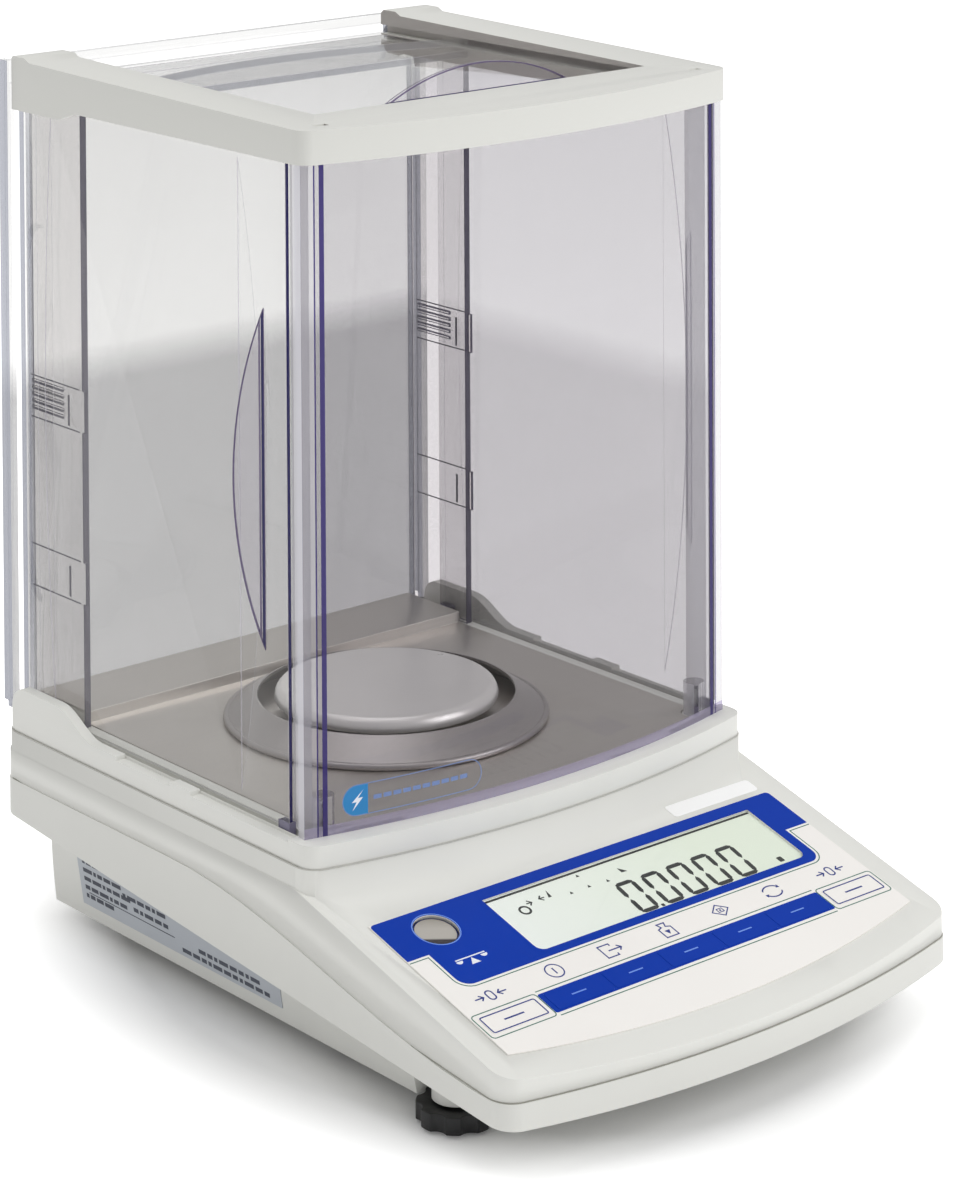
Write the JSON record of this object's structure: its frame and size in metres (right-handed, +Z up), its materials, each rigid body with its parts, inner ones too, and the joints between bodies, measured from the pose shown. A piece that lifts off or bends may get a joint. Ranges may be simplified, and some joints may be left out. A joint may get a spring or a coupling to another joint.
{
  "type": "analytical balance",
  "caption": "Laboratory balance with a round pan in a clear draft chamber with sliding side and roof doors, a wind ring, a sloping display and key panel and levelling feet.",
  "frame": {"origin": "middle of the footprint on the table", "axes": "+Z up, the control panel faces -Y, +X to the right as seen by the user"},
  "size_m": [0.202, 0.292, 0.315],
  "materials": {
    "case_plastic": "fine texture, off-white",
    "clear_acrylic": "clear with a faint violet-grey tint",
    "handle_acrylic": "clear with violet edges",
    "glide_plastic": "smooth",
    "stainless_brushed": "brushed",
    "stainless_satin": "satin with a polished rim",
    "film_white": "fine matte film",
    "film_blue": "fine matte film",
    "display_window": "clear",
    "display_body": "smooth",
    "circuit_board": "solder mask",
    "black_plastic": "satin",
    "vial_acrylic": "clear",
    "vial_liquid": "clear",
    "cast_aluminium": "machined",
    "spring_alloy": "machined",
    "plated_steel": "zinc plated",
    "ribbon_grey": "smooth",
    "black_rubber": "matte",
    "insert_brass": "knurled",
    "label_foil": "satin foil"
  },
  "bodies": {
    "base": {"lower_case": "case_plastic", "upper_case": "case_plastic", "chamber_deck": "case_plastic", "floor_plate": "stainless_brushed", "front_pane": "clear_acrylic", "rear_wall": "clear_acrylic", "side_pane_left": "clear_acrylic", "side_pane_right": "clear_acrylic", "roof_pane": "clear_acrylic", "top_frame": "case_plastic", "overlay_film": "film_white", "lcd_window": "display_window", "lcd_module": "display_body", "tact_switches": "black_plastic", "keypad_board": "circuit_board", "level_vial": "vial_acrylic", "level_liquid": "vial_liquid", "sensor_base": "cast_aluminium", "tuning_fork": "spring_alloy", "main_board": "circuit_board", "board_screws": "plated_steel", "ribbon_cable": "ribbon_grey", "dc_jack": "black_plastic", "serial_port": "plated_steel", "jackscrews": "plated_steel", "foot_inserts": "insert_brass", "rear_feet": "black_rubber", "case_bolts": "plated_steel", "pane_screws": "plated_steel", "wall_screws": "plated_steel", "rating_label": "label_foil"},
    "left_door": {"door_left": "clear_acrylic", "handle_left": "handle_acrylic", "glides_left": "glide_plastic"},
    "right_door": {"door_right": "clear_acrylic", "handle_right": "handle_acrylic", "glides_right": "glide_plastic"},
    "roof_door": {"door_top_slide": "clear_acrylic", "handle_top": "handle_acrylic"},
    "draft_ring": {"wind_ring": "stainless_brushed"},
    "weighing_frame": {"floating_frame": "cast_aluminium", "pan_support": "cast_aluminium"},
    "pan": {"pan": "stainless_satin"},
    "upper_guide": {"upper_guide": "spring_alloy"},
    "lower_guide": {"lower_guide": "spring_alloy"},
    "lever": {"lever": "cast_aluminium"},
    "left_foot_pad": {"foot_pad_left": "black_rubber"},
    "left_foot_knob": {"foot_knob_left": "black_plastic", "foot_stud_left": "plated_steel"},
    "right_foot_pad": {"foot_pad_right": "black_rubber"},
    "right_foot_knob": {"foot_knob_right": "black_plastic", "foot_stud_right": "plated_steel"},
    "key_zero_left": {"key_zero_left": "film_white"},
    "key_power": {"key_power": "film_blue"},
    "key_print": {"key_print": "film_blue"},
    "key_cal": {"key_cal": "film_blue"},
    "key_set": {"key_set": "film_blue"},
    "key_function": {"key_function": "film_blue"},
    "key_zero_right": {"key_zero_right": "film_white"}
  },
  "joints": [
    {"name": "left_door_slide", "type": "slide", "parent": "base", "child": "left_door", "axis": [0, 1, 0], "range_m": [-0.006, 0.124]},
    {"name": "right_door_slide", "type": "slide", "parent": "base", "child": "right_door", "axis": [0, 1, 0], "range_m": [0, 0.13]},
    {"name": "roof_door_slide", "type": "slide", "parent": "base", "child": "roof_door", "axis": [0, 1, 0], "range_m": [0, 0.1]},
    {"name": "wind_ring_lift", "type": "slide", "parent": "base", "child": "draft_ring", "axis": [0, 0, 1], "range_m": [0, 0.06]},
    {"name": "frame_travel", "type": "slide", "parent": "base", "child": "weighing_frame", "axis": [0, 0, -1], "range_m": [0, 0.0003], "stiffness_N_per_m": 20000},
    {"name": "pan_lift", "type": "slide", "parent": "weighing_frame", "child": "pan", "axis": [0, 0, 1], "range_m": [0, 0.06]},
    {"name": "upper_guide_turn", "type": "hinge", "parent": "base", "child": "upper_guide", "pos_m": [0, 0.102, 0.0525], "axis": [1, 0, 0], "range_deg": [0, 0.4]},
    {"name": "lower_guide_turn", "type": "hinge", "parent": "base", "child": "lower_guide", "pos_m": [0, 0.102, 0.024], "axis": [1, 0, 0], "range_deg": [0, 0.4]},
    {"name": "lever_turn", "type": "hinge", "parent": "base", "child": "lever", "pos_m": [0, 0.066, 0.038], "axis": [1, 0, 0], "range_deg": [0, 1.3]},
    {"name": "key_zero_left_press", "type": "slide", "parent": "base", "child": "key_zero_left", "axis": [0, 0.2588, -0.9659], "range_m": [0, 0.0005], "stiffness_N_per_m": 3000},
    {"name": "key_power_press", "type": "slide", "parent": "base", "child": "key_power", "axis": [0, 0.2588, -0.9659], "range_m": [0, 0.0005], "stiffness_N_per_m": 3000},
    {"name": "key_print_press", "type": "slide", "parent": "base", "child": "key_print", "axis": [0, 0.2588, -0.9659], "range_m": [0, 0.0005], "stiffness_N_per_m": 3000},
    {"name": "key_cal_press", "type": "slide", "parent": "base", "child": "key_cal", "axis": [0, 0.2588, -0.9659], "range_m": [0, 0.0005], "stiffness_N_per_m": 3000},
    {"name": "key_set_press", "type": "slide", "parent": "base", "child": "key_set", "axis": [0, 0.2588, -0.9659], "range_m": [0, 0.0005], "stiffness_N_per_m": 3000},
    {"name": "key_function_press", "type": "slide", "parent": "base", "child": "key_function", "axis": [0, 0.2588, -0.9659], "range_m": [0, 0.0005], "stiffness_N_per_m": 3000},
    {"name": "key_zero_right_press", "type": "slide", "parent": "base", "child": "key_zero_right", "axis": [0, 0.2588, -0.9659], "range_m": [0, 0.0005], "stiffness_N_per_m": 3000},
    {"name": "left_foot_travel", "type": "slide", "parent": "base", "child": "left_foot_pad", "axis": [0, 0, -1], "range_m": [-0.0008, 0.005]},
    {"name": "left_foot_turn", "type": "hinge", "parent": "left_foot_pad", "child": "left_foot_knob", "pos_m": [-0.0805, -0.0885, 0.004], "axis": [0, 0, 1], "range_deg": [-290, 1805]},
    {"name": "right_foot_travel", "type": "slide", "parent": "base", "child": "right_foot_pad", "axis": [0, 0, -1], "range_m": [-0.0008, 0.005]},
    {"name": "right_foot_turn", "type": "hinge", "parent": "right_foot_pad", "child": "right_foot_knob", "pos_m": [0.0805, -0.0885, 0.004], "axis": [0, 0, 1], "range_deg": [-290, 1805]}
  ],
  "couplings": [
    {"joint": "upper_guide_turn", "follows": "frame_travel", "rad_per_m": 19.231},
    {"joint": "lower_guide_turn", "follows": "frame_travel", "rad_per_m": 19.231},
    {"joint": "lever_turn", "follows": "frame_travel", "rad_per_m": 71.429},
    {"joint": "left_foot_turn", "follows": "left_foot_travel", "rad_per_m": 6283.2},
    {"joint": "right_foot_turn", "follows": "right_foot_travel", "rad_per_m": 6283.2}
  ]
}
